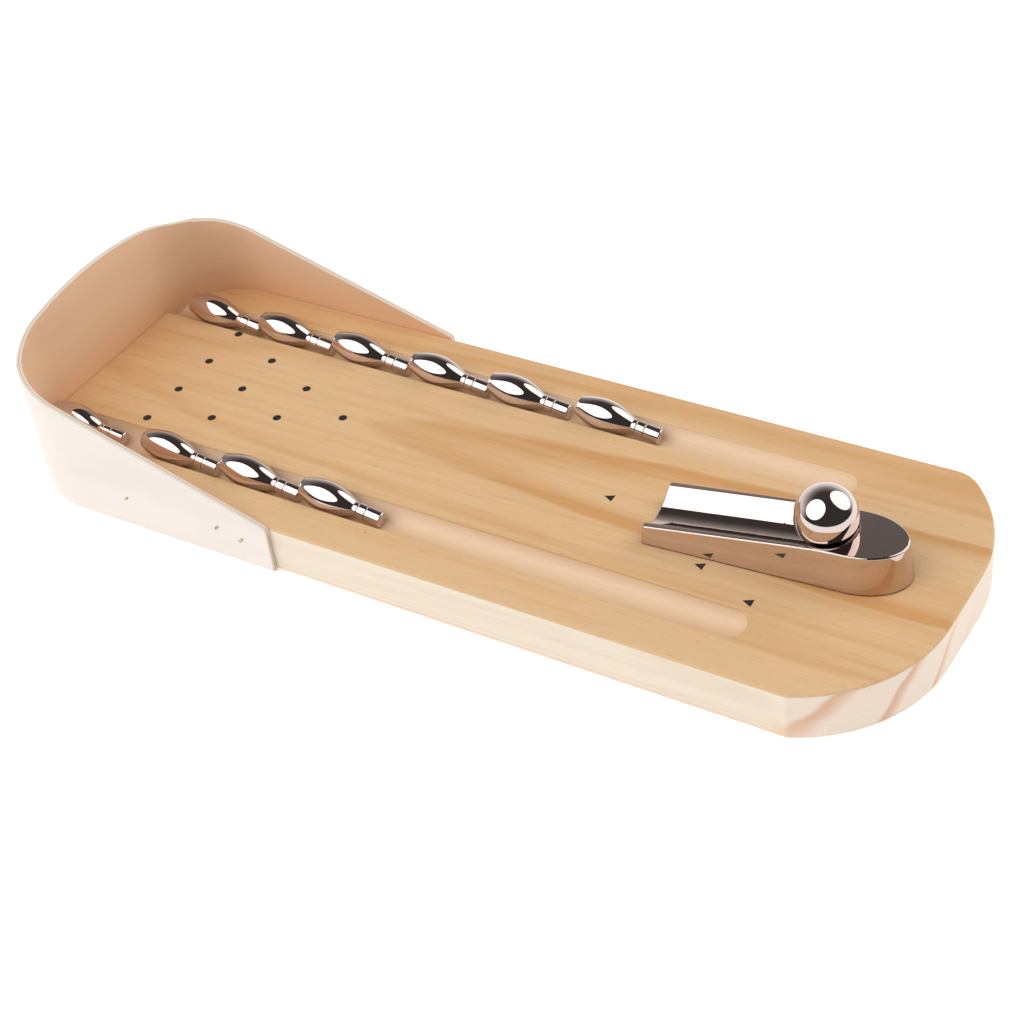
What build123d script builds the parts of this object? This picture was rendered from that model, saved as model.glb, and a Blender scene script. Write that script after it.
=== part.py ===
from build123d import *
import os
from math import atan, cos, degrees, radians, sin, sqrt, tan

# Mini desktop bowling game, in millimetres.  +X runs from the pin end to the bowling end,
# +Y goes to the left of someone bowling towards the pins from the +X end, +Z is up.
# The origin is at the middle of the length and width, on the face the board rests on.

# board: one solid plank with two gutters
board_length = 286.2
board_width = 100.0
board_thickness = 15.5
pin_corner_radius = 24.0
right_bowl_arc_radius = 43.5
right_bowl_arc_offset = -9.4
left_bowl_arc_radius = 49.0
left_bowl_arc_offset = 12.2
bowl_arc_step = 0.4
right_bowl_corner_radius = 3.0
left_bowl_corner_radius = 10.0
edge_round = 0.8
gutter_margin = 18.0
gutter_cutter_radius = 5.6
right_gutter_depth = 4.4
left_gutter_depth = 3.4
right_gutter_length = 238.6
left_gutter_length = 242.2

# backstop: a thin wooden sheet bent round the pin end
sheet_thickness = 1.8
sheet_lift = 0.3
wing_length = 97.4
rim_crown_height = 34.7
rim_crown_radius = 115.0
rim_shoulder_height = 27.8
rim_wing_slope = 16.7
wing_tip_height = 0.5
wing_tip_round = 1.0

# brads that nail the sheet to the board
brad_shank_radius = 0.45
brad_head_length = 2.2
brad_head_width = 0.9
brad_head_thickness = 0.3
brad_head_slant = 45.0
brad_length = 9.0
wing_brads = [(45.0, -5.0), (79.0, -4.7), (87.5, -6.6)]
back_brad_spacing = 36.0
back_brad_drop = 6.0

# ramp: a cast wedge with a grooved top, seen from its own front edge
ramp_front = 196.9
ramp_side_offset = -2.5
ramp_angle = 3.7
ramp_length = 74.0
ramp_over_ball_width = 4.2
ramp_rear_round = 15.5
ramp_front_round = 1.6
ramp_draft = 6.5
ramp_front_height = 5.6
ramp_height = 11.8
ramp_slope = 6.8
ramp_blend_radius = 170.0
ramp_lift = 0.15
groove_clearance = 0.7
groove_depth = 4.9
pocket_clearance = 1.0
pocket_place = 50.0
ramp_rim_round = 0.45
groove_rim_round = 0.4
groove_lip_drop = 0.35
groove_lip_least_length = 3.0

# pivot under the ramp: a countersunk screw and a washer in a counterbore
pivot_place = 61.0
screw_radius = 1.5
screw_running_clearance = 0.05
screw_grip = 6.0
screw_head_radius = 2.75
screw_head_height = 2.0
screw_drive_radius = 1.0
screw_drive_depth = 1.2
washer_radius = 3.5
washer_thickness = 0.6
counterbore_radius = 4.2
counterbore_depth = 5.0
pivot_play = 0.1

# ball
ball_radius = 8.8
ball_clearance = 0.12

# pins: turned metal, lying in the gutters with their heads towards the bowler
pin_length = 27.3
pin_base_radius = 3.2
pin_belly_radius = 4.85
pin_belly_place = 8.3
pin_neck_radius = 2.3
pin_neck_place = 17.9
pin_head_radius = 2.4
pin_swell_slope = 0.36
pin_neck_slope = -0.5
pin_ring_places = [19.4, 22.2]
pin_ring_width = 0.5
pin_ring_depth = 0.35
pin_edge_round = 0.45
pin_clearance = 0.12
left_pin_places = [8.8, 36.9, 66.0, 95.1, 123.3, 154.0]
right_pin_places = [2.6, 38.9, 68.9, 97.6]

total_length = board_length + sheet_thickness
pin_end = sheet_thickness - total_length / 2
bowl_end = total_length / 2
deck = board_thickness
half_width = board_width / 2
gutter_spacing = board_width - 2 * gutter_margin
outer_half_width = half_width + sheet_thickness
outer_corner_radius = pin_corner_radius + sheet_thickness
wing_end = pin_end + wing_length
shoulder_rise = rim_shoulder_height - wing_tip_height
ramp_width = 2 * ball_radius + ramp_over_ball_width
groove_radius = ball_radius + groove_clearance
pocket_radius = ball_radius + pocket_clearance
shoulder_x = wing_end - shoulder_rise / tan(radians(rim_wing_slope))


def from_pin_end(distance):
    """X of a point this far from the board's pin end."""
    return pin_end + distance


def board_outline():
    """A plank with two rounded corners at the pin end, and at the bowling end two wide arcs
    that share a tangent."""
    right_x = bowl_end - bowl_arc_step - right_bowl_arc_radius
    left_x = bowl_end - left_bowl_arc_radius
    arc_centre = min(right_x, left_x)
    straight = arc_centre - pin_end
    plank = Pos(pin_end + straight / 2, 0) * Rectangle(straight, board_width)
    strip = Pos(pin_end + board_length / 2, 0) * Rectangle(board_length, board_width)
    arcs = [Pos(right_x, right_bowl_arc_offset) * Circle(right_bowl_arc_radius),
            Pos(left_x, left_bowl_arc_offset) * Circle(left_bowl_arc_radius)]
    nose = make_hull([edge for arc in arcs for edge in arc.edges()]) & strip
    outline = Sketch() + [plank, nose]
    by_x = outline.vertices().sort_by(Axis.X)
    outline = fillet(by_x[:2], pin_corner_radius)
    for side, radius in ((-1, right_bowl_corner_radius), (1, left_bowl_corner_radius)):
        corner = [v for v in outline.vertices()
                  if v.X > arc_centre and abs(v.Y - side * half_width) < 0.01]
        outline = fillet(corner, radius)
    return outline


def gutter(side, length, depth):
    """The cutter's path: a round-nosed bar that starts past the pin end."""
    gutter_axis_height = deck - depth + gutter_cutter_radius
    mouth_half_width = sqrt(gutter_cutter_radius ** 2 - (gutter_cutter_radius - depth) ** 2)
    last = from_pin_end(length) - mouth_half_width
    start = pin_end - 10
    y = side * gutter_spacing / 2
    bar = Pos((start + last) / 2, y, gutter_axis_height) * Rot(0, 90, 0) * Cylinder(
        gutter_cutter_radius, last - start)
    return bar + Pos(last, y, gutter_axis_height) * Sphere(gutter_cutter_radius)


def ramp_point(along, up=0.0):
    """Place a point given along the ramp's centre line and up from the deck."""
    angle = radians(ramp_angle)
    x = from_pin_end(ramp_front) + along * cos(angle)
    y = ramp_side_offset + along * sin(angle)
    return Pos(x, y, deck + ramp_lift + up)


ramp_place = ramp_point(0) * Rot(0, 0, ramp_angle)
pivot_axis = ramp_point(pivot_place).position


def brad_places():
    """Position and outward turn about Z of each brad, on the sheet's outer face."""
    places = []
    for distance, height in wing_brads:
        for side in (-1, 1):
            spot = Pos(from_pin_end(distance), side * outer_half_width, deck + height)
            places.append(spot * Rot(0, 0, side * 90))
    for side in (-1, 1):
        spot = Pos(pin_end - sheet_thickness, side * back_brad_spacing / 2, deck - back_brad_drop)
        places.append(spot * Rot(0, 0, 180))
    return places


def brad():
    """A T-headed brad driven flush with the sheet, whose shank points to -X."""
    head = Pos(-brad_head_thickness / 2, 0, 0) * Rot(brad_head_slant, 0, 0) * Box(
        brad_head_thickness, brad_head_length, brad_head_width)
    shank = Pos(-brad_length / 2, 0, 0) * Rot(0, 90, 0) * Cylinder(brad_shank_radius, brad_length)
    return head + shank


def make_board():
    blank = extrude(board_outline(), board_thickness)
    rims = blank.edges().filter_by(Plane.XY)
    blank = fillet(rims, edge_round)
    blank -= gutter(1, left_gutter_length, left_gutter_depth)
    blank -= gutter(-1, right_gutter_length, right_gutter_depth)
    bore = Pos(pivot_axis.X, pivot_axis.Y, deck / 2) * Cylinder(
        screw_radius + screw_running_clearance, board_thickness * 2)
    recess = Pos(pivot_axis.X, pivot_axis.Y, counterbore_depth / 2) * Cylinder(
        counterbore_radius, counterbore_depth)
    blank -= bore
    blank -= recess
    for place in brad_places():
        blank -= place * brad()
    return blank


def make_backstop():
    """The bent sheet, with its back crowned and its wings cut down to the deck."""
    outer_length = wing_end - (pin_end - sheet_thickness)
    outer = Pos(pin_end - sheet_thickness + outer_length / 2, 0) * Rectangle(
        outer_length, 2 * outer_half_width)
    outer = fillet(outer.vertices().sort_by(Axis.X)[:2], outer_corner_radius)
    inner = Pos(pin_end + wing_length / 2 + 1, 0) * Rectangle(wing_length + 2, board_width)
    inner = fillet(inner.vertices().sort_by(Axis.X)[:2], pin_corner_radius)
    top = deck + rim_crown_height
    band = Pos(0, 0, sheet_lift) * extrude(outer - inner, top - sheet_lift)
    crown = Plane.YZ * (Pos(0, top - rim_crown_radius) * Circle(rim_crown_radius))
    shoulder_z = deck + rim_shoulder_height
    low = Pos(0, 0, shoulder_z / 2) * Box(2 * total_length, 2 * board_width, shoulder_z)
    band &= extrude(crown, total_length, both=True) + low
    # each wing's rim falls in a straight line from the shoulder to just above the deck
    tip_z = deck + wing_tip_height
    above = top + rim_crown_height
    line = Polyline((shoulder_x, shoulder_z), (wing_end, tip_z), (wing_end + 1, tip_z),
                    (wing_end + 1, above), (shoulder_x, above), close=True)
    wedge = extrude(Plane.XZ * make_face(line), board_width, both=True)
    band -= wedge
    tips = [e for e in band.edges().filter_by(Axis.Y)
            if abs(e.center().X - wing_end) < 0.01 and e.center().Z > deck - 2]
    band = fillet(tips, wing_tip_round)
    for place in brad_places():
        band -= place * brad()
    return band


def make_brads():
    return Compound(children=[place * brad() for place in brad_places()])


def ramp_plan():
    """Half an ellipse behind a straight-sided body with small front corners."""
    body_length = ramp_length - ramp_rear_round
    body = Pos(body_length / 2, 0) * Rectangle(body_length, ramp_width)
    body = fillet(body.vertices().sort_by(Axis.X)[:2], ramp_front_round)
    rear = Pos(body_length, 0) * Ellipse(ramp_rear_round, ramp_width / 2)
    keep = Pos(body_length + ramp_length / 2, 0) * Rectangle(ramp_length, 2 * ramp_width)
    return Sketch() + [body, rear & keep]


def on_groove_lip(edge):
    """The long edges where the groove and the pocket break out through the ramp's top."""
    box = edge.bounding_box()
    on_top = box.min.Z > ramp_front_height - groove_lip_drop
    inside = max(abs(box.min.Y), abs(box.max.Y)) < groove_radius
    beside = abs(edge.center().Y) > groove_radius / 2
    return on_top and inside and beside and edge.length > groove_lip_least_length


def make_ramp():
    """The wedge, cut by its side view and then by the ball-nosed groove and pocket."""
    blank = extrude(ramp_plan(), ramp_height + 1, taper=ramp_draft)
    crest = (ramp_height - ramp_front_height) / tan(radians(ramp_slope))
    far = ramp_length + 5
    side = Polyline((-5, -1), (far, -1), (far, ramp_height), (crest, ramp_height),
                    (-5, ramp_front_height - 5 * tan(radians(ramp_slope))), close=True)
    side = make_face(side)
    crest_corner = [v for v in side.vertices() if abs(v.X - crest) < 0.01]
    side = fillet(crest_corner, ramp_blend_radius)
    blank &= extrude(Plane.XZ * side, ramp_width, both=True)
    axis_up = (groove_radius - groove_depth) / cos(radians(ramp_slope))

    def groove_axis(along):
        return ramp_front_height + along * tan(radians(ramp_slope)) + axis_up

    reach = pocket_place / cos(radians(ramp_slope)) + 20
    middle = pocket_place - reach / 2 * cos(radians(ramp_slope))
    bar = Pos(middle, 0, groove_axis(middle)) * Rot(0, 90 - ramp_slope, 0) * Cylinder(
        groove_radius, reach)
    rim = [e for e in blank.edges() if e.bounding_box().min.Z > ramp_front_height - 0.5]
    blank = fillet(rim, ramp_rim_round)
    blank -= bar
    blank -= Pos(pocket_place, 0, groove_axis(pocket_place)) * Sphere(pocket_radius)
    lips = [e for e in blank.edges() if on_groove_lip(e)]
    blank = fillet(lips, groove_rim_round)
    blank -= Pos(pivot_place, 0, screw_grip / 2 - 1) * Cylinder(screw_radius, screw_grip + 2)
    return ramp_place * blank


def ball_centre():
    """The ball rests over the pocket, just clear of the groove's floor."""
    slope = radians(ramp_slope)
    axis_up = (groove_radius - groove_depth) / cos(slope)
    drop = (groove_radius - ball_radius - ball_clearance) / cos(slope)
    height = ramp_front_height + pocket_place * tan(slope) + axis_up - drop
    return ramp_point(pocket_place, height)


def make_screw():
    """A pan-headed machine screw, up through the board into the ramp."""
    head_top = counterbore_depth - washer_thickness - 2 * pivot_play
    tip = deck + ramp_lift + screw_grip
    head = Pos(0, 0, head_top - screw_head_height / 2) * Cylinder(
        screw_head_radius, screw_head_height)
    shank = Pos(0, 0, (head_top + tip) / 2) * Cylinder(screw_radius, tip - head_top)
    under = head_top - screw_head_height
    drive = Pos(0, 0, under) * extrude(RegularPolygon(screw_drive_radius, 6), screw_drive_depth)
    return Pos(pivot_axis.X, pivot_axis.Y, 0) * (head + shank - drive)


def make_washer():
    centre = counterbore_depth - pivot_play - washer_thickness / 2
    ring = Cylinder(washer_radius, washer_thickness) - Cylinder(
        screw_radius + screw_running_clearance, washer_thickness * 2)
    return Pos(pivot_axis.X, pivot_axis.Y, centre) * ring


def make_pin():
    """A bowling pin turned about X, with its base at the origin and its head at +X."""
    belly = Spline((0, pin_base_radius), (pin_belly_place, pin_belly_radius),
                   (pin_neck_place, pin_neck_radius),
                   tangents=[(1, pin_swell_slope), (1, pin_neck_slope)])
    outline = [belly, Line((pin_neck_place, pin_neck_radius), (pin_neck_place + 0.2, pin_head_radius)),
               Line((pin_neck_place + 0.2, pin_head_radius), (pin_length, pin_head_radius)),
               Line((pin_length, pin_head_radius), (pin_length, 0)),
               Line((pin_length, 0), (0, 0)), Line((0, 0), (0, pin_base_radius))]
    body = revolve(Plane.XZ * make_face(Wire(outline)), Axis.X)
    ends = [e for e in body.edges().filter_by(GeomType.CIRCLE)
            if e.center().X < 0.01 or e.center().X > pin_length - 0.01]
    body = fillet(ends, pin_edge_round)
    for place in pin_ring_places:
        ring = Cylinder(pin_head_radius + 1, pin_ring_width) - Cylinder(
            pin_head_radius - pin_ring_depth, pin_ring_width)
        body -= Pos(place, 0, 0) * Rot(0, 90, 0) * ring
    return body


def pin_tilt():
    """Angle at which belly and head edge both touch the gutter's floor."""
    return degrees(atan((pin_belly_radius - pin_head_radius) / (pin_length - pin_belly_place - 0.5)))


def lay_pin(body, side, distance):
    """Lay a pin on its gutter's floor, with its base this far from the pin end."""
    tipped = Rot(0, pin_tilt(), 0) * body
    depth = left_gutter_depth if side > 0 else right_gutter_depth
    lift = deck - depth + pin_clearance - tipped.bounding_box().min.Z
    return Pos(from_pin_end(distance), side * gutter_spacing / 2, lift) * tipped


def main():
    os.makedirs("parts", exist_ok=True)
    pieces = {"board": make_board(), "backstop": make_backstop(), "brads": make_brads(),
              "ramp": make_ramp(), "pivot_screw": make_screw(), "pivot_washer": make_washer(),
              "ball": ball_centre() * Sphere(ball_radius)}
    pin = make_pin()
    places = [(1, x) for x in left_pin_places] + [(-1, x) for x in right_pin_places]
    for number, (side, distance) in enumerate(places, start=1):
        pieces[f"pin_{number:02d}"] = lay_pin(pin, side, distance)
    for name, shape in pieces.items():
        export_step(shape, f"parts/{name}.step")


main()
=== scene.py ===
import math

import bpy
import numpy as np
from mathutils import Matrix, Vector


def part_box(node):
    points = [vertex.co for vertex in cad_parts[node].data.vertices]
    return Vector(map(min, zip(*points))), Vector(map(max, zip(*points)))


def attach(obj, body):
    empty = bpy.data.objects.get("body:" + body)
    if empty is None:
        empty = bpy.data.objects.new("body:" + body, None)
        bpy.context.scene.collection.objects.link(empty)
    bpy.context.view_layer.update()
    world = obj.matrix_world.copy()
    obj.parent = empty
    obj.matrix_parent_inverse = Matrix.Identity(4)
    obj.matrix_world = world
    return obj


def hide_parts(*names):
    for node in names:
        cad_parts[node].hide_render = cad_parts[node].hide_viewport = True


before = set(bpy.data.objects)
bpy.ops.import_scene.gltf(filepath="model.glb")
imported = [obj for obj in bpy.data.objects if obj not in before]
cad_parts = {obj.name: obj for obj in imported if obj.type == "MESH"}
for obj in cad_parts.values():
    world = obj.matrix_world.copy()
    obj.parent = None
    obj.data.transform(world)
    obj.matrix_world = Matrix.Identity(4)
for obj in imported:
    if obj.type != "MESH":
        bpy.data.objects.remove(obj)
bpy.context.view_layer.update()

# ---------------------------------------------------------------------------------------------
# The lane board: one plank of flat-sawn pine, moulded with two round-bottomed gutters.  Its top
# is varnished a warm amber, and its sides and sawn end are left bare and pale.
# ---------------------------------------------------------------------------------------------
# the pins are towards -x and the bowler at +x; the near side is -y and the far side +y
board_low, board_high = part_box("board")
deck = board_high.z
MM = 0.001


def paint(red, green, blue):
    """A colour given as 0-255 screen values, turned linear by the sRGB curve."""
    share = np.array([red, green, blue]) / 255
    linear = np.where(share <= 0.04045, share / 12.92, ((share + 0.055) / 1.055) ** 2.4)
    return (*linear, 1.0)


def new_finish(name):
    """An empty node finish: its material, node tree and surface shader."""
    finish = bpy.data.materials.new(name)
    finish.use_nodes = True
    tree = finish.node_tree
    return finish, tree, tree.nodes["Principled BSDF"]


def plug(tree, socket, value):
    """Feed a socket from another socket, or set it to a plain number or colour."""
    if isinstance(value, bpy.types.NodeSocket):
        tree.links.new(value, socket)
    else:
        socket.default_value = value


def maths(tree, operation, first, second=0.0, third=0.0):
    """One arithmetic step on values that vary over the surface."""
    node = tree.nodes.new("ShaderNodeMath")
    node.operation = operation
    for socket, value in zip(node.inputs, (first, second, third)):
        plug(tree, socket, value)
    return node.outputs[0]


def product_of(tree, *values):
    """All the values multiplied together."""
    result = values[0]
    for value in values[1:]:
        result = maths(tree, "MULTIPLY", result, value)
    return result


def step_up(tree, value, low, high):
    """Rises smoothly from 0 at low to 1 at high."""
    node = tree.nodes.new("ShaderNodeMapRange")
    node.interpolation_type = "SMOOTHSTEP"
    plug(tree, node.inputs["Value"], value)
    node.inputs["From Min"].default_value = low
    node.inputs["From Max"].default_value = high
    return node.outputs["Result"]


def step_down(tree, value, low, high):
    """Falls smoothly from 1 at low to 0 at high."""
    return maths(tree, "SUBTRACT", 1.0, step_up(tree, value, low, high))


def banded(tree, value, centre, inside, outside):
    """A soft band: 1 at the centre, falling smoothly to 0 at these distances either side."""
    rising = step_up(tree, value, centre - inside, centre)
    falling = step_up(tree, value, centre, centre + outside)
    return maths(tree, "SUBTRACT", rising, falling)


def blend_of(tree, share, first, second, mode="MIX"):
    """Two colours mixed, or combined as mode says, by a share that varies over the surface."""
    node = tree.nodes.new("ShaderNodeMix")
    node.data_type = "RGBA"
    node.blend_type = mode
    plug(tree, node.inputs[0], share)
    plug(tree, node.inputs[6], first)
    plug(tree, node.inputs[7], second)
    return node.outputs[2]


def millimetres(tree):
    """The piece's own coordinates, in millimetres."""
    where = tree.nodes.new("ShaderNodeTexCoord")
    scaled = tree.nodes.new("ShaderNodeMapping")
    scaled.inputs["Scale"].default_value = (1 / MM, 1 / MM, 1 / MM)
    tree.links.new(where.outputs["Object"], scaled.inputs["Vector"])
    return scaled.outputs[0]


def cloud(tree, place, along, across, up, detail=2.0, roughness=0.5):
    """Soft noise about 0.5 whose patches are along x across x up millimetres."""
    stretched = tree.nodes.new("ShaderNodeMapping")
    stretched.inputs["Scale"].default_value = (1 / along, 1 / across, 1 / up)
    tree.links.new(place, stretched.inputs["Vector"])
    noise = tree.nodes.new("ShaderNodeTexNoise")
    noise.inputs["Scale"].default_value = 1.0
    noise.inputs["Detail"].default_value = detail
    noise.inputs["Roughness"].default_value = roughness
    tree.links.new(stretched.outputs[0], noise.inputs["Vector"])
    return noise.outputs["Fac"]


def axes_of(tree, place):
    """The three numbers of a position or a colour, apart."""
    node = tree.nodes.new("ShaderNodeSeparateXYZ")
    tree.links.new(place, node.inputs[0])
    return node.outputs


def streaked(tree, colour, fibre, darkest, reach):
    """The colour multiplied by a grey that goes from darkest up by reach as the fibre value
    goes from 0 to 1."""
    grey = maths(tree, "MULTIPLY_ADD", fibre, reach, darkest)
    shade = tree.nodes.new("ShaderNodeCombineColor")
    for socket in shade.inputs:
        tree.links.new(grey, socket)
    return blend_of(tree, 1.0, colour, shade.outputs[0], "MULTIPLY")


def emboss(tree, shader, height, strength, metres):
    """Bump: the shading leans with the slope of a height, of which 1 stands for so many metres."""
    bump = tree.nodes.new("ShaderNodeBump")
    bump.inputs["Strength"].default_value = strength
    bump.inputs["Distance"].default_value = metres
    tree.links.new(height, bump.inputs["Height"])
    tree.links.new(bump.outputs[0], shader.inputs["Normal"])


def specks(tree, place, spacing, inner, outer, channel, none_below, all_above):
    """Small round spots in some cells of a loose lattice.  A spot is 1 up to inner from its
    cell's centre and 0 from outer on, both as shares of the spacing, and a cell has one when its
    own random number, a channel of its colour, is high enough."""
    cells = tree.nodes.new("ShaderNodeTexVoronoi")
    cells.inputs["Scale"].default_value = 1 / spacing
    tree.links.new(place, cells.inputs["Vector"])
    spot = step_down(tree, cells.outputs["Distance"], inner, outer)
    chance = axes_of(tree, cells.outputs["Color"])[channel]
    return product_of(tree, spot, step_up(tree, chance, none_below, all_above))


def far_apart(tree, first, second):
    """The root of the sum of two squares."""
    squares = maths(tree, "ADD", product_of(tree, first, first), product_of(tree, second, second))
    return maths(tree, "SQRT", squares)


# the plank's figure in millimetres: the trunk's centre line, then for each growth ring in the
# deck its radius and how far its band fades inwards and outwards
pith_across = 5.0
pith_surfaces_x = 122.0
pith_lean = 0.106
ring_wander = 5.0
ring_ripple = 1.6
main_ring = (19.6, 6.5, 1.8)
outer_ring = (33.5, 4.0, 1.5)
faint_ring = (44.5, 5.0, 2.0)
varnish_pale, varnish_deep = paint(226, 188, 142), paint(211, 157, 101)
tick_brown = paint(186, 130, 80)


def ring_distance(tree, place):
    """How far each point of the deck is from the trunk's centre line, which rises under the
    plank and meets the deck at pith_surfaces_x: the root of the squares of the distance across
    and of the depth, where the depth is the lean times the distance still to go."""
    x, y, _ = axes_of(tree, place)
    across = maths(tree, "SUBTRACT", y, pith_across)
    to_go = maths(tree, "MAXIMUM", maths(tree, "SUBTRACT", pith_surfaces_x, x), 0.0)
    radius = far_apart(tree, across, maths(tree, "MULTIPLY", to_go, pith_lean))
    wander = cloud(tree, place, 60, 18, 60, detail=1.0)
    ripple = cloud(tree, place, 22, 3.0, 20, detail=2.0)
    radius = maths(tree, "MULTIPLY_ADD", wander, ring_wander, radius)
    return maths(tree, "MULTIPLY_ADD", ripple, ring_ripple, radius)


def varnished_top(tree, place, streaks):
    """Amber that deepens in the growth rings, most of all towards the bowler, in streaks and
    broad patches and along the far margin, and pales along the near margin.  Its deepening at
    the pin end, beside the backstop, is painted shade."""
    x, y, _ = axes_of(tree, place)
    radius = ring_distance(tree, place)
    broad = cloud(tree, place, 90, 12, 60, detail=2.0)
    strength = maths(tree, "MULTIPLY_ADD", step_up(tree, x, -60, 60), 0.55, 0.45)
    amber = product_of(tree, banded(tree, radius, *main_ring), strength)
    for share, weight in ((banded(tree, radius, *outer_ring), 0.32),
                          (banded(tree, radius, *faint_ring), 0.28),
                          (step_up(tree, streaks, 0.42, 0.7), 0.25),
                          (step_up(tree, broad, 0.5, 0.75), 0.3),
                          (step_up(tree, y, 37, 42), 0.35),
                          # painted shade: deeper amber towards the pin end, beside the backstop
                          (step_down(tree, x, -125, -80), 0.22),
                          (step_down(tree, y, -44, -38), -0.22)):
        amber = maths(tree, "MULTIPLY_ADD", share, weight, amber)
    amber = maths(tree, "MAXIMUM", maths(tree, "MINIMUM", amber, 1.0), 0.0)
    top = blend_of(tree, amber, varnish_pale, varnish_deep)
    ticks = step_up(tree, cloud(tree, place, 5.0, 0.5, 0.6, detail=1.0), 0.62, 0.72)
    return blend_of(tree, maths(tree, "MULTIPLY", ticks, 0.2), top, tick_brown)


# the bare wood in millimetres: the sawn end's rings about a point below the far side, and the
# warm band of painted shade and the saw line along the foot of each side, each with how far
# it fades
end_pith_across = 46.0
end_pith_depth = 46.0
end_ring_spacing = 14.0
foot_shade_band = (0.9, 1.4, 1.2)
saw_line = (2.9, 0.25, 0.25)
bare_pale, bare_deep = paint(241, 228, 209), paint(236, 219, 198)
foot_shade_warm, saw_line_brown = paint(240, 206, 172), paint(222, 184, 148)
sawn_pale, sawn_ring = paint(248, 230, 213), paint(230, 188, 156)


def end_rings(tree, place):
    """Growth rings on the sawn end: with the distance from a centre below the far side, a band
    darkens slowly and stops short once every spacing, and the bands fade out on that side."""
    _, y, z = axes_of(tree, place)
    across = maths(tree, "SUBTRACT", y, end_pith_across)
    up = maths(tree, "ADD", z, end_pith_depth)
    ripple = cloud(tree, place, 40, 12, 8, detail=2.0)
    radius = maths(tree, "MULTIPLY_ADD", ripple, 3.0, far_apart(tree, across, up))
    turn = maths(tree, "FRACT", maths(tree, "DIVIDE", radius, end_ring_spacing))
    return product_of(tree, banded(tree, turn, 0.8, 0.28, 0.1), step_down(tree, y, -28.0, 12.0))


def bare_wood(tree, place, streaks):
    """Cream wood, warmer along its foot as painted shade, with a saw line above that and rings in
    its end.
    """
    x, _, z = axes_of(tree, place)
    bare = blend_of(tree, step_up(tree, streaks, 0.4, 0.75), bare_pale, bare_deep)
    # painted shade: a warm band along the foot of each side
    foot = maths(tree, "MULTIPLY", banded(tree, z, *foot_shade_band), 0.45)
    line = maths(tree, "MULTIPLY", banded(tree, z, *saw_line), 0.35)
    bare = blend_of(tree, line, blend_of(tree, foot, bare, foot_shade_warm), saw_line_brown)
    at_end = product_of(tree, step_up(tree, x, 108, 122), step_up(tree, z, 0.1, 0.6))
    sawn = blend_of(tree, end_rings(tree, place), sawn_pale, sawn_ring)
    return blend_of(tree, at_end, bare, sawn)


# the gutters in millimetres: each one's side, half its mouth's width and where it ends; then the
# places between which each finish comes or goes, and the lip's line with how far it fades
gutter_across = 32.0
gutters = ((1, 5.15, 100.0), (-1, 5.47, 96.4))
# painted light: across each gutter the wood lightens between these places towards the far wall
gutter_light_across = (-4.5, 4.0)
gutter_mouth = (15.2, 15.4)
gutter_floor = (10.8, 10.95)
varnish_foot = (14.6, 15.0)
deck_only = (15.3, 15.45)
# painted shade: a dark line along the near gutter's inner lip, and where along it stops
lip_shade_line = (-26.2, 0.5, 0.35)
lip_shade_end = (95.0, 97.0)
gutter_pale, lip_shade_brown = paint(242, 217, 190), paint(196, 140, 86)
resin_brown = paint(128, 100, 78)


def gutter_shares(tree, place):
    """Two shares: 1 beside either gutter's middle out to its mouth's edge, and how pale the wood
    is there, which rises across each gutter towards the far side as painted light on the wall
    that faces the near side."""
    x, y, _ = axes_of(tree, place)
    beside, pale = 0.0, 0.0
    for side, half_mouth, length in gutters:
        across = maths(tree, "SUBTRACT", y, side * gutter_across)
        this_side = step_up(tree, maths(tree, "MULTIPLY", y, side), 0, 1)
        # painted light on the gutter's wall that faces the near side
        lit_wall = product_of(tree, step_up(tree, across, *gutter_light_across), this_side)
        pale = maths(tree, "ADD", pale, lit_wall)
        off = maths(tree, "ABSOLUTE", across)
        within = step_down(tree, off, half_mouth - 0.1, half_mouth + 0.1)
        before = step_down(tree, x, length, length + 0.3)
        beside = maths(tree, "ADD", beside, product_of(tree, within, before))
    return beside, maths(tree, "MULTIPLY_ADD", pale, 0.5, 0.15)


def pine_finish():
    """Amber varnish on top with a long pointed growth ring, lighter wood in the gutters with
    painted light up each gutter's far wall, and bare cream wood on the sides with the rings
    showing in the sawn end."""
    finish, tree, shader = new_finish("varnished_pine")
    place = millimetres(tree)
    x, y, z = axes_of(tree, place)
    fibre = cloud(tree, place, 20, 0.5, 0.5, detail=3.0, roughness=0.65)
    streaks = cloud(tree, place, 70, 2.2, 4.0, detail=2.0)
    beside, pale = gutter_shares(tree, place)
    gutter = product_of(tree, beside, step_down(tree, z, *gutter_mouth),
                        step_up(tree, z, *gutter_floor))
    coated = maths(tree, "MAXIMUM", step_up(tree, z, *varnish_foot), gutter)

    # the top, with a dark line of painted shade along the near gutter's inner lip, over the bare
    # sides
    lip = product_of(tree, banded(tree, y, *lip_shade_line), step_down(tree, x, *lip_shade_end), 0.55)
    top = blend_of(tree, lip, varnished_top(tree, place, streaks), lip_shade_brown)
    wood = blend_of(tree, coated, bare_wood(tree, place, streaks), top)

    # pale wood in the gutters, with painted light up each far wall, and a few resin specks in the
    # deck
    wood = blend_of(tree, product_of(tree, gutter, pale), wood, gutter_pale)
    resin = product_of(tree, specks(tree, place, 15, 0.014, 0.04, 0, 0.4, 0.5),
                       step_up(tree, z, *deck_only), 0.5)
    wood = blend_of(tree, resin, wood, resin_brown)
    wood = streaked(tree, wood, fibre, 0.93, 0.14)
    tree.links.new(wood, shader.inputs["Base Color"])
    gloss = maths(tree, "MULTIPLY_ADD", coated, -0.22, 0.66)
    tree.links.new(gloss, shader.inputs["Roughness"])
    shader.inputs["Specular IOR Level"].default_value = 0.35
    emboss(tree, shader, fibre, 0.25, 0.05 * MM)
    return finish


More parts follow.
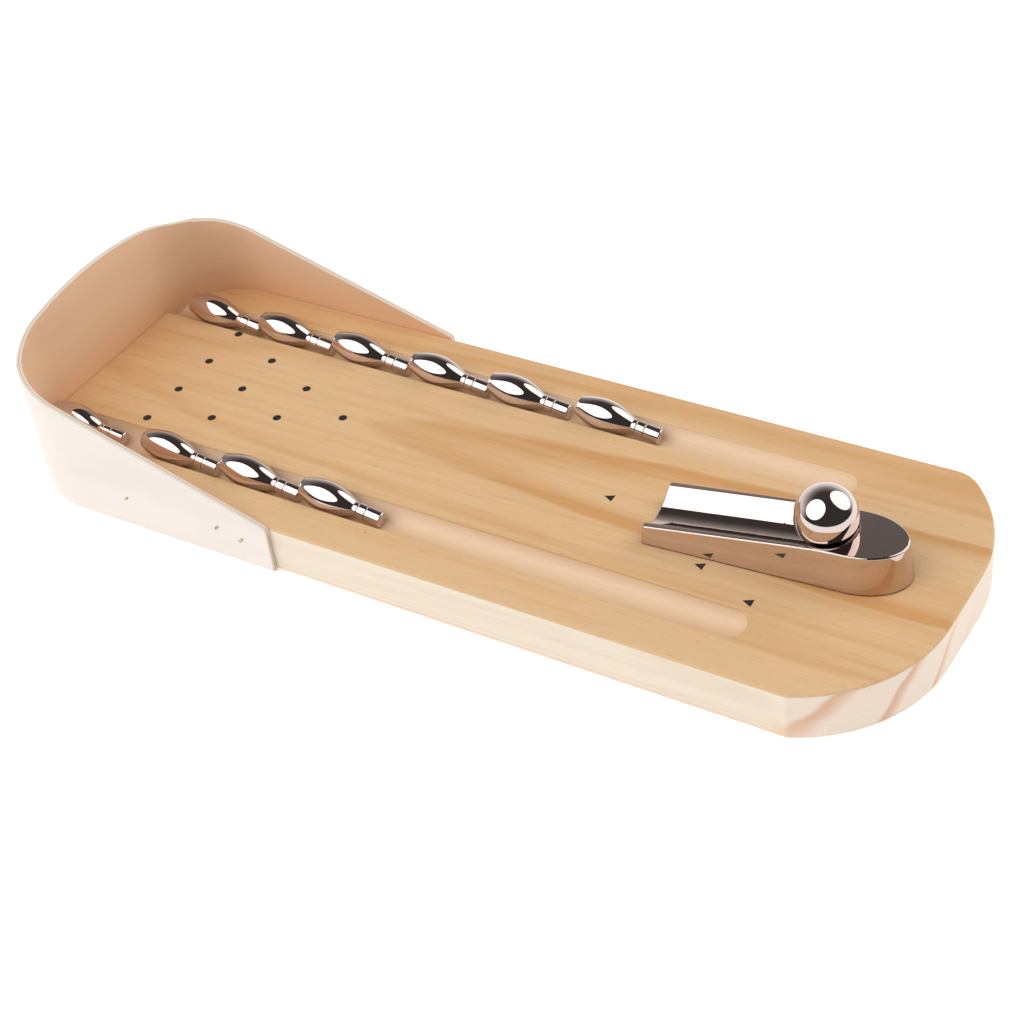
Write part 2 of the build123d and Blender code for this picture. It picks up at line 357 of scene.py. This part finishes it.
def dress(node, finish):
    """Give a CAD node its finish in every material slot."""
    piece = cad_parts[node]
    for place in piece.material_slots:
        place.material = finish


dress("board", pine_finish())

# ---------------------------------------------------------------------------------------------
# The lane's markings: ten round spots where the pins stand and seven arrows to aim by, printed
# on the deck in black ink.  Each is a very thin closed film, half of it sunk in the deck.
# ---------------------------------------------------------------------------------------------
head_spot = Vector((-54.07 * MM, 1.87 * MM, deck))
row_pitch = 19.1 * MM
spot_pitch = 15.93 * MM
spot_radius = 1.32 * MM
rows_of_pins = 4
ink_film = 0.03 * MM


def new_piece(name, corners, faces, smooth=True):
    """A mesh object at the origin, made from whole arrays of corners and faces."""
    mesh = bpy.data.meshes.new(name)
    mesh.from_pydata(np.asarray(corners, float).tolist(), [], [tuple(f) for f in faces])
    mesh.polygons.foreach_set("use_smooth", np.full(len(mesh.polygons), smooth))
    mesh.validate()
    mesh.update()
    piece = bpy.data.objects.new(name, mesh)
    bpy.context.scene.collection.objects.link(piece)
    return piece


def film_of(outlines):
    """Each flat outline becomes a closed prism: the outline a film's thickness under the deck
    and again as much above it, with walls between and a cap at each end."""
    corners, faces = [], []
    for outline in outlines:
        count = len(outline)
        first = sum(len(c) for c in corners)
        lower = np.column_stack([outline, np.full(count, deck - ink_film)])
        upper = np.column_stack([outline, np.full(count, deck + ink_film)])
        corners += [lower, upper]
        ring = np.arange(count)
        after = np.roll(ring, -1)
        walls = np.column_stack([ring, after, after + count, ring + count]) + first
        faces += walls.tolist()
        faces += [(ring[::-1] + first).tolist(), (ring + count + first).tolist()]
    return np.vstack(corners), faces


def ink_finish():
    """Matt black ink, a little thinner and browner in fine patches."""
    finish, tree, shader = new_finish("black_ink")
    thin = step_up(tree, cloud(tree, millimetres(tree), 3.0, 0.3, 0.3, detail=2.0), 0.35, 0.75)
    colour = blend_of(tree, thin, paint(22, 19, 18), paint(44, 36, 32))
    tree.links.new(colour, shader.inputs["Base Color"])
    shader.inputs["Roughness"].default_value = 0.55
    return finish


ink = ink_finish()
turn = np.linspace(0, 2 * np.pi, 40, endpoint=False)
disc = spot_radius * np.column_stack([np.cos(turn), np.sin(turn)])
spots = []
for row in range(rows_of_pins):
    for place_in_row in range(row + 1):
        shift = (-row * row_pitch, (place_in_row - row / 2) * spot_pitch)
        spots.append(disc + np.array(shift) + np.array(head_spot.xy))
pin_spots = new_piece("pin_spots", *film_of(spots), smooth=False)

middle_arrow = np.array(Vector((38.3 * MM, 0.8 * MM)))
arrow_step = np.array([18.07 * MM, 7.83 * MM])
arrow_shape = np.array([(-1.5, 0.0), (1.4, -1.45), (1.4, 1.45)]) * MM
arrows_each_side = 3
arrows = []
for step in range(-arrows_each_side, arrows_each_side + 1):
    offset = np.array([abs(step) * arrow_step[0], step * arrow_step[1]])
    arrows.append(arrow_shape + offset + middle_arrow)
aiming_arrows = new_piece("aiming_arrows", *film_of(arrows), smooth=False)
for marking in (pin_spots, aiming_arrows):
    marking.data.materials.append(ink)
    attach(marking, "board")

# ---------------------------------------------------------------------------------------------
# The backstop: two thin veneers glued together and bent round the pin end, crowned at the back
# and cut down along each wing.  The outer face is almost white.  Brads nail it to the board's
# sides, and their heads stand a little proud of it.
# ---------------------------------------------------------------------------------------------
sheet_low, sheet_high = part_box("backstop")
brad_proud = 0.04 * MM
sheet_thickness = sheet_high.y - board_high.y - brad_proud
sheet_half_width = board_high.y
corner_radius = 24.0 * MM
crown_radius = 115.0 * MM
shoulder_height = 27.8 * MM
wing_slope = math.tan(math.radians(16.7))
wing_tip_height = 0.5 * MM
wing_tip_round = 1.0 * MM
edge_round = 0.35 * MM
shoulder_ease = 1.6 * MM
wing_ease = 2.0 * MM


def bend_path(stations):
    """Where the sheet's inner face runs, seen from above: along the near wing towards the pin
    end, a quarter circle, across the back, a quarter circle, and out along the far wing.
    Returns the points, the outward directions and the distance along the path."""
    wing = sheet_high.x - (board_low.x + corner_radius)
    bend = corner_radius * np.pi / 2
    back = 2 * (sheet_half_width - corner_radius)
    total = 2 * wing + 2 * bend + back
    run = stations * total
    centre_x = board_low.x + corner_radius
    centre_y = sheet_half_width - corner_radius
    first = np.clip((run - wing) / bend, 0, 1) * np.pi / 2
    second = np.clip((run - wing - bend - back) / bend, 0, 1) * np.pi / 2
    angle = -np.pi / 2 - first - second
    outward = np.column_stack([np.cos(angle), np.sin(angle)])
    on_near = np.clip(wing - run, 0, wing)
    on_far = np.clip(run - wing - 2 * bend - back, 0, wing)
    along_back = np.clip(run - wing - bend, 0, back)
    x = centre_x + on_near + on_far + corner_radius * outward[:, 0]
    y = -centre_y + along_back + corner_radius * outward[:, 1]
    return np.column_stack([x, y]), outward, run


def rim_height(x, y):
    """The sheet's top: the higher of a circle's crown and a level shoulder, then the lower of
    that and a straight line down to the wing's tip.  The higher and the lower of two heights
    are each eased into one curve where they cross."""
    def eased(first, second, sign, ease):
        sharp = np.maximum(first, second) if sign > 0 else np.minimum(first, second)
        near = np.clip(1 - np.abs(first - second) / ease, 0, 1)
        return sharp + sign * near ** 2 * ease / 4

    top = sheet_high.z
    crown = top - crown_radius + np.sqrt(crown_radius ** 2 - y ** 2)
    shoulder = np.full_like(crown, deck + shoulder_height)
    back = eased(crown, shoulder, 1, shoulder_ease)
    shoulder_x = sheet_high.x - (shoulder_height - wing_tip_height) / wing_slope
    past = 3 * np.maximum(shoulder_x - x, 0)
    wing = deck + wing_tip_height + wing_slope * (sheet_high.x - x) + past
    rim = np.minimum(eased(back, wing, -1, wing_ease), top)
    to_tip = np.clip((sheet_high.x - x) / wing_tip_round, 0, 1)
    rounding = wing_tip_round * (1 - np.sqrt(1 - (1 - to_tip) ** 2))
    return rim - rounding


def bent_sheet():
    """A closed band: one loop round the sheet's thickness (inner face up, rounded rim, outer
    face down, rounded foot), carried along the bend path, with a cap on each wing tip."""
    ease = (1 - np.cos(np.linspace(0, np.pi, 13))) / 2
    tip = 0.012 * ease
    stations = np.concatenate([tip, np.linspace(0.012, 0.988, 300)[1:-1], 1 - tip[::-1]])
    points, outward, run = bend_path(stations)
    quarter = np.linspace(0, np.pi / 2, 6)
    round_across = edge_round * (1 - np.cos(quarter))
    round_down = edge_round * (1 - np.sin(quarter))
    face = np.linspace(0, 1, 12)[1:-1]
    across = np.concatenate([np.zeros(10), round_across, sheet_thickness - round_across[::-1],
                             np.full(10, sheet_thickness),
                             sheet_thickness - round_across, round_across[::-1]])
    from_top = np.concatenate([np.full(10, np.nan), round_down, round_down[::-1],
                               np.full(10, np.nan), np.full(12, np.nan)])
    rise = np.concatenate([face, np.full(12, np.nan), face[::-1], np.full(12, np.nan)])
    from_foot = np.concatenate([np.full(32, np.nan), round_down, round_down[::-1]])
    x = points[:, :1] + outward[:, :1] * across
    y = points[:, 1:] + outward[:, 1:] * across
    top = rim_height(x, y)
    low = sheet_low.z
    z = np.where(~np.isnan(from_top), top - from_top, 0.0)
    z = np.where(~np.isnan(rise), low + edge_round + rise * (top - low - 2 * edge_round), z)
    z = np.where(~np.isnan(from_foot), low + from_foot, z)
    count, around = x.shape
    corners = np.stack([x, y, z], axis=2).reshape(-1, 3)
    index = np.arange(count * around).reshape(count, around)
    after = np.roll(index, -1, axis=1)
    quads = np.stack([index[:-1], index[1:], after[1:], after[:-1]], axis=2).reshape(-1, 4)
    faces = quads.tolist() + [index[0].tolist(), index[-1][::-1].tolist()]
    shares = np.stack([np.repeat(run[:, None], around, 1) / MM,
                       np.repeat(across[None] / sheet_thickness, count, 0)], axis=2)
    return corners, faces, shares.reshape(-1, 2)


def lay_uv(piece, name, values):
    """Store a pair of numbers for each corner of the mesh in a UV map."""
    mesh = piece.data
    layer = mesh.uv_layers.new(name=name)
    picks = np.zeros(len(mesh.loops), dtype=np.int64)
    mesh.loops.foreach_get("vertex_index", picks)
    layer.data.foreach_set("uv", values[picks].ravel().astype(np.float32))


outer_pale, outer_deep = paint(243, 234, 226), paint(239, 229, 220)
# the inner face's warm tan is painted light bounced from the amber deck, and its foot colour is
# painted shade
inner_bounce_pale, inner_bounce_deep = paint(241, 206, 172), paint(236, 200, 166)
inner_shade_foot, glue_brown = paint(237, 190, 148), paint(172, 122, 84)
edge_pale, edge_deep = paint(238, 228, 216), paint(226, 212, 196)


def veneer_finish():
    """Pale veneer: fine straight fibres along the bend, and a glue line in the cut edge."""
    finish, tree, shader = new_finish("bent_veneer")
    z = axes_of(tree, millimetres(tree))[2]
    where = tree.nodes.new("ShaderNodeUVMap")
    where.uv_map = "sheet"
    along, through, _ = axes_of(tree, where.outputs[0])
    flat = tree.nodes.new("ShaderNodeCombineXYZ")
    for value, socket in zip((along, z, through), flat.inputs):
        tree.links.new(value, socket)
    spread = flat.outputs[0]
    fibre = cloud(tree, spread, 26, 0.5, 1.0, detail=3.0, roughness=0.6)
    patches = step_up(tree, cloud(tree, spread, 60, 14.0, 1.0, detail=2.0), 0.35, 0.7)

    # the two faces: the inner one's warm tan is painted light bounced from the deck, and it
    # deepens towards its foot as painted shade
    outer = blend_of(tree, patches, outer_pale, outer_deep)
    inner = blend_of(tree, patches, inner_bounce_pale, inner_bounce_deep)
    inner = blend_of(tree, step_down(tree, z, 15, 30), inner, inner_shade_foot)
    wood = blend_of(tree, step_up(tree, through, 0.2, 0.5), inner, outer)

    # the cut edge, where the veneers' layers and the glue between them show
    in_edge = product_of(tree, step_up(tree, through, 0.02, 0.06),
                         step_down(tree, through, 0.94, 0.98), 0.8)
    layers = step_up(tree, cloud(tree, spread, 30, 30, 0.09), 0.4, 0.6)
    wood = blend_of(tree, in_edge, wood, blend_of(tree, layers, edge_pale, edge_deep))
    from_middle = maths(tree, "ABSOLUTE", maths(tree, "SUBTRACT", through, 0.5))
    glue = maths(tree, "MULTIPLY", step_down(tree, from_middle, 0.04, 0.09), 0.6)
    wood = blend_of(tree, glue, wood, glue_brown)
    wood = streaked(tree, wood, fibre, 0.97, 0.06)
    tree.links.new(wood, shader.inputs["Base Color"])
    shader.inputs["Roughness"].default_value = 0.6
    shader.inputs["Specular IOR Level"].default_value = 0.35
    emboss(tree, shader, fibre, 0.2, 0.04 * MM)
    return finish


sheet_corners, sheet_faces, sheet_shares = bent_sheet()
backstop_sheet = new_piece("backstop_sheet", sheet_corners, sheet_faces)
lay_uv(backstop_sheet, "sheet", sheet_shares)
backstop_sheet.data.materials.append(veneer_finish())
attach(backstop_sheet, "board")
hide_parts("backstop")

# ---------------------------------------------------------------------------------------------
# The brads: T-headed steel nails driven straight in, each head's bar turned 45 degrees and almost
# flush with the sheet, three through each wing and two through the back.
# ---------------------------------------------------------------------------------------------


def steel_finish(name, light, dark, roughness, metallic):
    """Steel that goes from its light colour to its dark one in soft patches, rougher there."""
    finish, tree, shader = new_finish(name)
    place = millimetres(tree)
    patches = step_up(tree, cloud(tree, place, 0.8, 0.8, 0.8, detail=3.0), 0.35, 0.7)
    tree.links.new(blend_of(tree, patches, light, dark), shader.inputs["Base Color"])
    shader.inputs["Metallic"].default_value = metallic
    rough = maths(tree, "MULTIPLY_ADD", patches, 0.2, roughness)
    tree.links.new(rough, shader.inputs["Roughness"])
    return finish


# tan steel brads, darker and rougher in soft patches
dress("brads", steel_finish("brad_tan_steel", paint(222, 200, 168), paint(140, 108, 78), 0.5, 0.15))

# ---------------------------------------------------------------------------------------------
# The ramp: a die-cast wedge, polished and chromed, with a ball-nosed groove up its top and a
# round pocket that holds the ball.  The casting shows slight waves and a few pits in its sides.
# ---------------------------------------------------------------------------------------------


casting_spacing = 5.5
pit_brown = paint(70, 58, 50)
foot_shade_brown = paint(96, 62, 42)


def chrome_finish(name, wave, pits, light=(220, 206, 202), dark=(210, 194, 189)):
    """Bright chrome: a mirror, softened by waves in the metal under it, so many millimetres
    high, and by fine polishing marks.  On a casting there are also a few pits, and painted
    shade in patches along its foot, where it meets the deck."""
    finish, tree, shader = new_finish(name)
    place = millimetres(tree)
    shader.inputs["Metallic"].default_value = 1.0
    smear = cloud(tree, place, 6, 6, 6, detail=3.0)
    tint = blend_of(tree, smear, paint(*light), paint(*dark))
    rough = maths(tree, "MULTIPLY_ADD", smear, 0.05, 0.012)
    tree.links.new(rough, shader.inputs["Roughness"])
    height = maths(tree, "MULTIPLY", cloud(tree, place, 9, 9, 9, detail=1.0), wave)
    if pits:
        pit = specks(tree, place, casting_spacing, 0.015, 0.05, 1, 0.62, 0.66)
        height = maths(tree, "MULTIPLY_ADD", pit, -pits, height)
        tint = blend_of(tree, maths(tree, "MULTIPLY", pit, 0.6), tint, pit_brown)
        z = axes_of(tree, place)[2]
        # painted shade in patches along the casting's foot, where it meets the deck
        foot = step_down(tree, z, deck / MM + 0.25, deck / MM + 0.7)
        shade_patches = step_up(tree, cloud(tree, place, 1.2, 1.2, 0.6, detail=2.0), 0.3, 0.6)
        foot = product_of(tree, foot, maths(tree, "MULTIPLY_ADD", shade_patches, 0.4, 0.45))
        tint = blend_of(tree, foot, tint, foot_shade_brown)
    tree.links.new(tint, shader.inputs["Base Color"])
    emboss(tree, shader, height, 1.0, MM)
    return finish


dress("ramp", chrome_finish("cast_chrome", wave=0.03, pits=0.02, light=(214, 197, 189),
                            dark=(205, 185, 175)))

# ---------------------------------------------------------------------------------------------
# The pivot: a plated machine screw and washer in a counterbore under the board, which hold the
# ramp down and let it be turned to aim.
# ---------------------------------------------------------------------------------------------
plated = steel_finish("zinc_plate", paint(190, 190, 186), paint(150, 149, 144), 0.3, 0.95)
dress("pivot_screw", plated)
dress("pivot_washer", plated)

# ---------------------------------------------------------------------------------------------
# The ball: one ground and chromed steel ball, which sits in the ramp's pocket.
# ---------------------------------------------------------------------------------------------
ball_low, ball_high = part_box("ball")
ball_centre = (ball_low + ball_high) / 2
ball_radius = (ball_high.z - ball_low.z) / 2


def fan(pole, ring, after):
    """Triangles from one corner at a pole to each side of a ring."""
    return np.column_stack([np.full(len(ring), pole), ring, after]).tolist()


def round_ball(centre, radius, rings=64, spokes=128):
    """A sphere: each ring's height is the cosine of its angle from the pole and its reach is
    the sine, with one corner at each pole."""
    down = np.linspace(0, np.pi, rings + 1)[1:-1]
    around = np.linspace(0, 2 * np.pi, spokes, endpoint=False)
    x = np.outer(np.sin(down), np.cos(around))
    y = np.outer(np.sin(down), np.sin(around))
    z = np.repeat(np.cos(down)[:, None], spokes, 1)
    grid = np.stack([x, y, z], axis=2).reshape(-1, 3)
    corners = np.vstack([grid, [(0, 0, 1), (0, 0, -1)]]) * radius + np.array(centre)
    index = np.arange(len(grid)).reshape(rings - 1, spokes)
    after = np.roll(index, -1, axis=1)
    quads = np.stack([index[:-1], index[1:], after[1:], after[:-1]], axis=2).reshape(-1, 4)
    north, south = len(grid), len(grid) + 1
    caps = fan(north, index[0], after[0]) + fan(south, after[-1], index[-1])
    return corners, quads.tolist() + caps


rolling_ball = new_piece("rolling_ball", *round_ball(ball_centre, ball_radius))
rolling_ball.data.materials.append(chrome_finish("ball_chrome", wave=0.004, pits=0.0))
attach(rolling_ball, "ball")
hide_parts("ball")

# ---------------------------------------------------------------------------------------------
# The pins: ten alike, turned from bar on an automatic lathe and chromed.  Each has a flat base,
# a full belly, a drawn-in neck and a long head with two fine ring grooves.
# ---------------------------------------------------------------------------------------------
pin_length = 27.3 * MM
base_radius = 3.2 * MM
belly_radius = 4.85 * MM
belly_place = 8.3 * MM
neck_radius = 2.3 * MM
neck_place = 17.9 * MM
head_radius = 2.4 * MM
swell_slope = 0.36
neck_slope = -0.5
ring_places = (19.4 * MM, 22.2 * MM)
ring_width = 0.5 * MM
ring_depth = 0.35 * MM
ring_lip = 0.08 * MM
neck_shoulder = 0.2 * MM
pin_edge = 0.45 * MM
pin_tilt = math.atan((belly_radius - head_radius) / (pin_length - belly_place - 0.5 * MM))


def pin_profile():
    """Distance along the pin and radius there: a rounded base edge, a cubic swell to the belly,
    a cubic draw-in to the neck, a small shoulder, the head with its half-round grooves, and a
    rounded end."""
    corner = np.linspace(0, np.pi / 2, 6)
    start = np.column_stack([pin_edge * (1 - np.sin(corner[::-1])),
                             base_radius - pin_edge + pin_edge * np.cos(corner[::-1])])
    share = np.linspace(0, 1, 26)[1:, None]

    def cubic(a, b, slope_a, slope_b):
        """The cubic through a and b with these slopes there, without a itself."""
        span = b[0] - a[0]
        h = share[:, 0]
        level = (2 * h ** 3 - 3 * h ** 2 + 1) * a[1] + (3 * h ** 2 - 2 * h ** 3) * b[1]
        lean = (h ** 3 - 2 * h ** 2 + h) * slope_a * span + (h ** 3 - h ** 2) * slope_b * span
        return np.column_stack([a[0] + h * span, level + lean])

    belly = np.array([belly_place, belly_radius])
    neck = np.array([neck_place, neck_radius])
    swell = cubic(start[-1], belly, swell_slope, 0.0)
    draw = cubic(belly, neck, 0.0, neck_slope)
    rows = [start, swell, draw, [(neck_place + neck_shoulder, head_radius)]]
    sweep = np.linspace(0, np.pi, 9)
    for place in ring_places:
        groove = np.column_stack([place - ring_width / 2 * np.cos(sweep),
                                  head_radius - ring_depth * np.sin(sweep)])
        lip = (ring_lip, 0.0)
        rows.append(np.vstack([groove[:1] - lip, groove, groove[-1:] + lip]))
    end = np.column_stack([pin_length - pin_edge + pin_edge * np.sin(corner),
                           head_radius - pin_edge + pin_edge * np.cos(corner)])
    return np.vstack(rows + [end])


def turned_pin(tilt, spokes=96):
    """The profile turned round its own axis, closed by a corner at the middle of each end, then
    tipped down by tilt about the middle of its base."""
    profile = pin_profile()
    around = np.linspace(0, 2 * np.pi, spokes, endpoint=False)
    along = np.repeat(profile[:, :1], spokes, 1)
    y = np.outer(profile[:, 1], np.cos(around))
    z = np.outer(profile[:, 1], np.sin(around))
    grid = np.stack([along, y, z], axis=2).reshape(-1, 3)
    corners = np.vstack([grid, [(0, 0, 0), (pin_length, 0, 0)]])
    lean = np.array(Matrix.Rotation(tilt, 3, "Y"))
    corners = corners @ lean.T
    index = np.arange(len(grid)).reshape(-1, spokes)
    after = np.roll(index, -1, axis=1)
    quads = np.stack([index[:-1], after[:-1], after[1:], index[1:]], axis=2).reshape(-1, 4)
    base, tip = len(grid), len(grid) + 1
    caps = fan(base, after[0], index[0]) + fan(tip, index[-1], after[-1])
    return corners, quads.tolist() + caps


pin_chrome = chrome_finish("pin_chrome", wave=0.006, pits=0.0)
pin_corners, pin_faces = turned_pin(pin_tilt)
pin_low = pin_corners.min(0)
for number in range(1, 11):
    node = f"pin_{number:02d}"
    low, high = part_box(node)
    foot = np.array([low.x - pin_low[0], (low.y + high.y) / 2, low.z - pin_low[2]])
    pin = new_piece(f"turned_{node}", pin_corners + foot, pin_faces)
    pin.data.set_sharp_from_angle(angle=math.radians(40))
    pin.data.materials.append(pin_chrome)
    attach(pin, node)
    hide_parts(node)

# ---------------------------------------------------------------------------------------------
# The studio: a wide pale floor, two large soft lights, a weak third that the chrome doesn't
# mirror, and the room that it does: dark behind the camera, with a grey far wall above a pale
# backdrop.  The camera comes last.
# ---------------------------------------------------------------------------------------------
scene = bpy.context.scene
scene.view_settings.view_transform = "Standard"
scene.view_settings.look = "None"

floor_half = 3.0
floor_white = paint(250, 250, 250)
floor_corners = np.array([(-1, -1, 0), (1, -1, 0), (1, 1, 0), (-1, 1, 0)]) * floor_half
studio_floor = new_piece("studio_floor", floor_corners, [(0, 1, 2, 3)], smooth=False)
floor_finish, floor_tree, floor_shader = new_finish("pale_floor")
floor_cloud = cloud(floor_tree, millimetres(floor_tree), 300, 300, 300)
floor_colour = blend_of(floor_tree, floor_cloud, floor_white, paint(247, 247, 247))
floor_tree.links.new(floor_colour, floor_shader.inputs["Base Color"])
floor_shader.inputs["Roughness"].default_value = 0.8
floor_shader.inputs["Emission Color"].default_value = floor_white
floor_shader.inputs["Emission Strength"].default_value = 0.3
studio_floor.data.materials.append(floor_finish)

light_distance = 2.2


def soft_light(name, direction, size, watts):
    """A round soft light that faces the middle of the lane from the given direction."""
    light = bpy.data.lights.new(name, "AREA")
    light.shape = "DISK"
    light.size = size
    light.energy = watts
    lamp = bpy.data.objects.new(name, light)
    lamp.location = Vector(direction).normalized() * light_distance
    lamp.rotation_euler = (-lamp.location).to_track_quat("-Z", "Y").to_euler()
    scene.collection.objects.link(lamp)
    return lamp


soft_light("front_left_softbox", (-0.37, -0.56, 0.74), 3.0, 47)
soft_light("back_right_softbox", (0.51, 0.55, 0.66), 2.6, 28)
fill = soft_light("unseen_fill", (0.8, -0.1, 0.6), 2.6, 8)
fill.visible_glossy = False

# the room round the object, by the direction looked in; far is the level direction in which
# the camera faces
far_x, far_y = -0.58, 0.81
near_wall = (0.045, 0.042, 0.042, 1)
far_wall_low, far_wall_high = (0.26, 0.25, 0.25, 1), (0.06, 0.055, 0.055, 1)
pale_backdrop = (0.95, 0.95, 0.95, 1)
plain_background = (0.96, 0.96, 0.96, 1)
world = bpy.data.worlds.new("studio_room")
world.use_nodes = True
scene.world = world
room = world.node_tree
look_x, look_y, look_z = axes_of(room, room.nodes.new("ShaderNodeTexCoord").outputs["Generated"])
farness = maths(room, "MULTIPLY", look_x, far_x)
farness = maths(room, "MULTIPLY_ADD", look_y, far_y, farness)
far_side = step_up(room, farness, -0.2, 0.6)
far_wall = blend_of(room, step_up(room, look_z, 0.5, 0.82), far_wall_low, far_wall_high)
walls = blend_of(room, far_side, near_wall, far_wall)
backdrop = product_of(room, step_down(room, look_z, 0.06, 0.6), far_side)
pale = maths(room, "MAXIMUM", backdrop, step_down(room, look_z, -0.06, 0.0))
mirrored = blend_of(room, pale, walls, pale_backdrop)
seen = room.nodes.new("ShaderNodeLightPath").outputs["Is Camera Ray"]
room_colour = blend_of(room, seen, mirrored, plain_background)
room.links.new(room_colour, room.nodes["Background"].inputs["Color"])
room.nodes["Background"].inputs["Strength"].default_value = 1.0

camera_data = bpy.data.cameras.new("camera")
camera_data.sensor_width = 36.0
camera_data.lens = 71.3
camera_data.clip_end = 20.0
camera = bpy.data.objects.new("camera", camera_data)
camera_place = Vector((0.2716, -0.3746, 0.3805))
forward = Vector((-0.4466, 0.6272, -0.6381)).normalized()
level_right = forward.cross(Vector((0, 0, 1))).normalized()
camera_roll = math.radians(7.76)
right = Matrix.Rotation(camera_roll, 3, forward) @ level_right
up = right.cross(forward)
camera.matrix_world = Matrix((
    (right.x, up.x, -forward.x, camera_place.x),
    (right.y, up.y, -forward.y, camera_place.y),
    (right.z, up.z, -forward.z, camera_place.z),
    (0, 0, 0, 1)))
scene.collection.objects.link(camera)
scene.camera = camera
